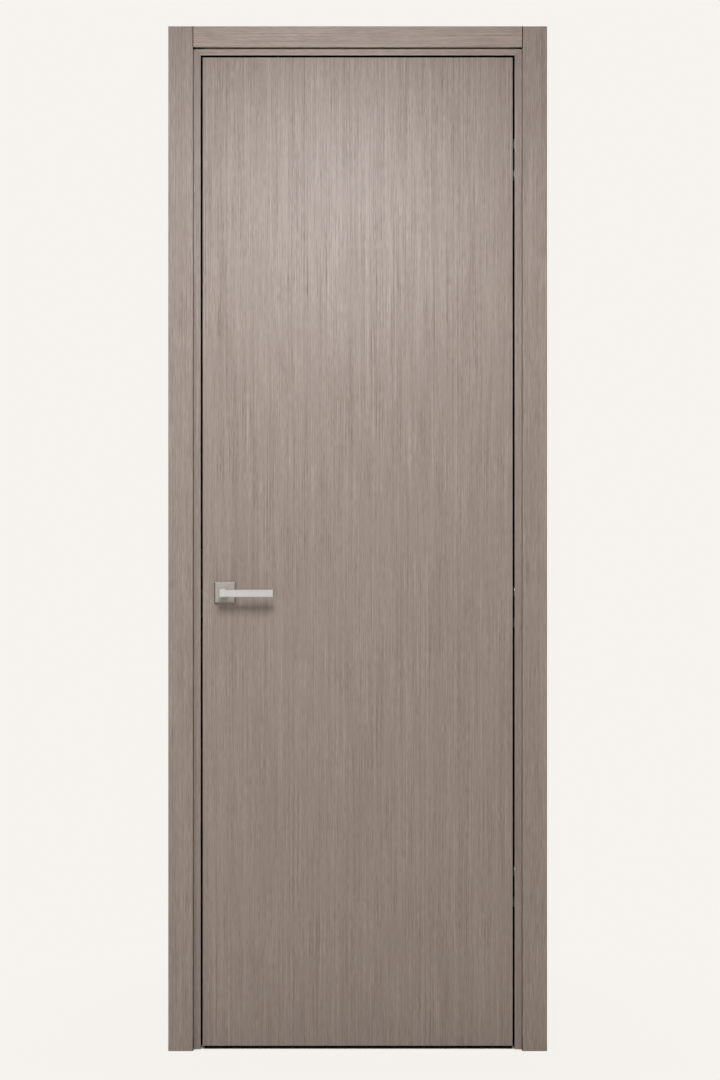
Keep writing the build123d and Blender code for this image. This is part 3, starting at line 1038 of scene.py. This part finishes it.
@dataclass
class Hardware:
    """Handles, lock, strike and concealed hinges."""

    frame: dict[str, object]
    lever_edge_mm: float = 0.45
    rose_edge_mm: float = 0.9
    handle_edge_segments: int = 4
    plate_edge_mm: float = 0.25
    hinge_edge_mm: float = 0.3
    hinge_screw_radius_mm: float = 4.2
    hinge_screw_inset_mm: float = 13.0
    plate_screw_radius_mm: float = 3.9
    plate_screw_inset_mm: float = 10.0
    faceplate_recess_mm: float = 0.6
    head_proud_mm: float = 0.05
    lever_finish: SatinMetal = SatinMetal("satin_plated_nickel_lever", "#d1cfcc", 0.43)
    # The rose is the lever's nickel painted darker and warmer, as painted shade.
    rose_painted_shade_finish: SatinMetal = SatinMetal("satin_plated_nickel_rose_painted_shade", "#b0aba5", 0.58)
    # The steel plates and their screws get painted shade in gaps and corners.
    plate_finish: SatinMetal = SatinMetal(
        "brushed_stainless_steel", "#b9b8b4", 0.34, grain=Grain.UPRIGHT, crevice=Crevice()
    )
    lock_finish: SatinMetal = SatinMetal("zinc_plated_steel", "#a9adb0", 0.42)
    hinge_finish: SatinMetal = SatinMetal(
        "satin_chromed_cast_zinc", "#7b7b79", 0.36, grain=Grain.UPRIGHT
    )
    arm_finish: SatinMetal = SatinMetal("black_burnished_steel_arm", "#1a1918", 0.45)

    def build(self) -> None:
        """Dress the metal pieces and add their screws."""
        levers, painted_shade_roses = self.lever_finish.build(), self.rose_painted_shade_finish.build()
        segments = self.handle_edge_segments
        dress(self.frame, ["lever_front", "lever_back"], levers, self.lever_edge_mm, segments)
        dress(self.frame, ["rose_front", "rose_back"], painted_shade_roses, self.rose_edge_mm, segments)
        steel = self.plate_finish.build()
        plates = ["strike_plate", "lock_faceplate", "latch_bolt"]
        dress(self.frame, plates, steel, self.plate_edge_mm)
        dress(self.frame, ["spindle", "lock_case"], self.lock_finish.build())
        bodies = [f"hinge_{n}_{side}_body" for n in HINGE_NAMES for side in ("frame", "leaf")]
        dress(self.frame, bodies, self.hinge_finish.build(), self.hinge_edge_mm)
        dress(self.frame, [f"hinge_{n}_arm" for n in HINGE_NAMES], self.arm_finish.build())
        screws = Screws(steel, "satin_steel")
        self.hinge_screws(screws)
        self.plate_screws(screws)

    def hinge_screws(self, screws: Screws) -> None:
        """Add a screw in each end cap of every hinge body.

        Args:
            screws: The maker of the screws.
        """
        proud, inset = self.head_proud_mm * MM, self.hinge_screw_inset_mm * MM
        for side, body, facing in (("frame", BODY_FRAME, -1.0), ("leaf", BODY_LEAF, 1.0)):
            places = []
            for name in HINGE_NAMES:
                low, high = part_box(f"hinge_{name}_{side}_body")
                x = low.x if facing < 0 else high.x
                y = (low.y + high.y) / 2
                for z in (low.z + inset, high.z - inset):
                    centre = Vector((x + facing * proud, y, z))
                    places.append((centre, Vector((facing, 0.0, 0.0))))
            screws.build(f"hinge_screws_{side}", body, places, self.hinge_screw_radius_mm)

    def plate_screws(self, screws: Screws) -> None:
        """Add the two screws of the strike plate and of the faceplate.

        Args:
            screws: The maker of the screws.
        """
        proud, inset = self.head_proud_mm * MM, self.plate_screw_inset_mm * MM
        for node, body, facing in (
            ("strike_plate", BODY_FRAME, 1.0),
            ("lock_faceplate", BODY_LEAF, -1.0),
        ):
            low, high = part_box(node)
            x = high.x if facing > 0 else low.x + self.faceplate_recess_mm * MM
            y = (low.y + high.y) / 2
            places = [
                (Vector((x + facing * proud, y, z)), Vector((facing, 0.0, 0.0)))
                for z in (low.z + inset, high.z - inset)
            ]
            screws.build(f"{node}_screws", body, places, self.plate_screw_radius_mm)


@dataclass(frozen=True)
class SoftBox:
    """A soft rectangular lamp, its place and aim measured from the middle of the leaf."""

    name: str
    distance_m: float
    side_m: float
    up_m: float
    aim_side_m: float
    aim_up_m: float
    power_w: float
    width_m: float
    height_m: float


@dataclass
class Studio:
    """Floor, world, lamps and camera.

    The room's light comes from its ceiling and from behind the door. The rise of each says how far up,
    or how far back, a direction points where that light begins and where it is full.
    """

    background_hex: str = "#f6f3ee"
    floor_hex: str = "#dcd9d3"
    floor_roughness: float = 0.9
    light_hex: str = "#ffffff"
    camera_distance_m: float = 4.70
    camera_height_m: float = 1.252
    camera_side_m: float = 0.0057
    sensor_mm: float = 36.0
    focal_mm: float = 63.72
    floor_size_m: float = 12.0
    key: SoftBox = SoftBox("key_lamp", 2.02, -0.082, 2.424, -0.235, -0.5, 39.4, 0.61, 0.83)
    front: SoftBox = SoftBox("front_lamp", 4.95, -2.2, 1.5, -2.2, 1.5, 40.0, 2.4, 2.4)
    wall_strength: float = 0.01
    ceiling_strength: float = 1.0
    ceiling_rise: tuple[float, float] = (0.65, 0.95)
    behind_strength: float = 0.8
    behind_rise: tuple[float, float] = (0.05, 0.5)
    shadow_share: float = 0.03
    shadow_core_m: float = 0.4
    shadow_reach_m: float = 1.3
    under_leaf: Crevice = Crevice(closed=0.25, open=0.45)

    def build(self) -> None:
        """Make everything that isn't part of the door."""
        low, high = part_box("leaf_front_face")
        centre_x, front_y = (low.x + high.x) / 2, low.y
        self.floor(centre_x)
        self.world()
        for box in (self.key, self.front):
            self.lamp(box, centre_x, front_y)
        self.camera(centre_x, front_y)

    def floor(self, centre_x: float) -> None:
        """Lay a pale floor that takes the door's shadow.

        The camera sees it in the background's colour, a trace darker near the door and dark right
        under the leaf.

        Args:
            centre_x: The middle of the leaf.
        """
        half = self.floor_size_m / 2
        mesh = bpy.data.meshes.new("studio_floor")
        corners = [(-half, -half), (half, -half), (half, half), (-half, half)]
        mesh.from_pydata([(centre_x + x, y, 0.0) for x, y in corners], [], [(0, 1, 2, 3)])
        material, tree = new_material("rolled_pale_floor_paint")
        seen = add_node(tree, "ShaderNodeLightPath").outputs["Is Camera Ray"]
        paint = add_node(
            tree,
            "ShaderNodeBsdfPrincipled",
            inputs={"Base Color": linear(self.floor_hex), "Roughness": self.floor_roughness},
        ).outputs[0]
        glow = add_node(
            tree,
            "ShaderNodeEmission",
            inputs={"Color": linear(self.background_hex), "Strength": 1.0},
        ).outputs[0]
        place = add_node(tree, "ShaderNodeTexCoord").outputs["Object"]
        away = add_node(
            tree,
            "ShaderNodeVectorMath",
            {"operation": "DISTANCE"},
            {0: place, 1: (centre_x, 0.0, 0.0)},
        ).outputs["Value"]
        plain = add_node(
            tree,
            "ShaderNodeMapRange",
            {"interpolation_type": "SMOOTHSTEP"},
            {
                0: away,
                1: self.shadow_core_m,
                2: self.shadow_reach_m,
                3: 1.0 - self.shadow_share,
            },
        ).outputs[0]
        share = add_node(
            tree, "ShaderNodeMath", {"operation": "MULTIPLY"}, {0: seen, 1: plain}
        ).outputs[0]
        share = add_node(
            tree,
            "ShaderNodeMath",
            {"operation": "MULTIPLY"},
            {0: share, 1: self.under_leaf.openness(tree)},
        ).outputs[0]
        mixed = add_node(
            tree, "ShaderNodeMixShader", inputs={0: share, 1: paint, 2: glow}
        ).outputs[0]
        finish_material(tree, mixed)
        floor = mesh_object("studio_floor", mesh, material)
        LOG.info("built the floor")

    def world(self) -> None:
        """Light the room from its ceiling and from behind, and show the background to the camera."""
        world = bpy.data.worlds.new("plain_room")
        bpy.context.scene.world = world
        world.use_nodes = True
        tree = world.node_tree
        tree.nodes.clear()
        seen = add_node(tree, "ShaderNodeLightPath").outputs["Is Camera Ray"]
        direction = add_node(tree, "ShaderNodeTexCoord").outputs["Generated"]
        axes = add_node(tree, "ShaderNodeSeparateXYZ", inputs={0: direction}).outputs
        ceiling = add_node(
            tree,
            "ShaderNodeMapRange",
            {"interpolation_type": "SMOOTHSTEP"},
            {
                0: axes[2],
                1: self.ceiling_rise[0],
                2: self.ceiling_rise[1],
                3: self.wall_strength,
                4: self.ceiling_strength,
            },
        ).outputs[0]
        behind = add_node(
            tree,
            "ShaderNodeMapRange",
            {"interpolation_type": "SMOOTHSTEP"},
            {
                0: axes[1],
                1: self.behind_rise[0],
                2: self.behind_rise[1],
                4: self.behind_strength,
            },
        ).outputs[0]
        strength = add_node(
            tree, "ShaderNodeMath", {"operation": "MAXIMUM"}, {0: ceiling, 1: behind}
        ).outputs[0]
        fill = add_node(
            tree,
            "ShaderNodeBackground",
            inputs={"Color": linear(self.light_hex), "Strength": strength},
        ).outputs[0]
        shown = add_node(
            tree,
            "ShaderNodeBackground",
            inputs={"Color": linear(self.background_hex), "Strength": 1.0},
        ).outputs[0]
        mixed = add_node(
            tree, "ShaderNodeMixShader", inputs={0: seen, 1: fill, 2: shown}
        ).outputs[0]
        add_node(tree, "ShaderNodeOutputWorld", inputs={"Surface": mixed})
        LOG.info("built the world")

    def lamp(self, box: SoftBox, centre_x: float, front_y: float) -> None:
        """Hang a soft box in front of the door.

        Args:
            box: Its place, aim, power and size.
            centre_x: The middle of the leaf.
            front_y: The plane of the leaf's face.
        """
        light = bpy.data.lights.new(box.name, "AREA")
        light.shape = "RECTANGLE"
        light.size, light.size_y = box.width_m, box.height_m
        light.energy = box.power_w
        light.color = linear(self.light_hex)[:3]
        lamp = bpy.data.objects.new(box.name, light)
        lamp.location = (centre_x + box.side_m, front_y - box.distance_m, box.up_m)
        target = Vector((centre_x + box.aim_side_m, front_y, box.aim_up_m))
        lamp.rotation_euler = (target - lamp.location).to_track_quat("-Z", "Y").to_euler()
        bpy.context.scene.collection.objects.link(lamp)
        LOG.info("built %s", box.name)

    def camera(self, centre_x: float, front_y: float) -> None:
        """Set the camera square to the door, as in the photograph.

        Args:
            centre_x: The middle of the leaf.
            front_y: The plane of the leaf's face.
        """
        data = bpy.data.cameras.new("camera")
        data.sensor_width = self.sensor_mm
        data.lens = self.focal_mm
        data.sensor_fit = "AUTO"
        camera = bpy.data.objects.new("camera", data)
        camera.location = (
            centre_x + self.camera_side_m,
            front_y - self.camera_distance_m,
            self.camera_height_m,
        )
        camera.rotation_euler = (math.radians(90), 0.0, 0.0)
        bpy.context.scene.collection.objects.link(camera)
        bpy.context.scene.camera = camera
        LOG.info("built the camera")


def main() -> None:
    """Load the frame, then build and dress each part of the door in order."""
    logging.basicConfig(level=logging.INFO, format="%(message)s")
    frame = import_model()
    bpy.context.scene.view_settings.view_transform = "Standard"
    Studio().build()
    DoorFrame(frame).build()
    DoorLeaf(frame).build()
    Hardware(frame).build()


if __name__ == "__main__":
    main()
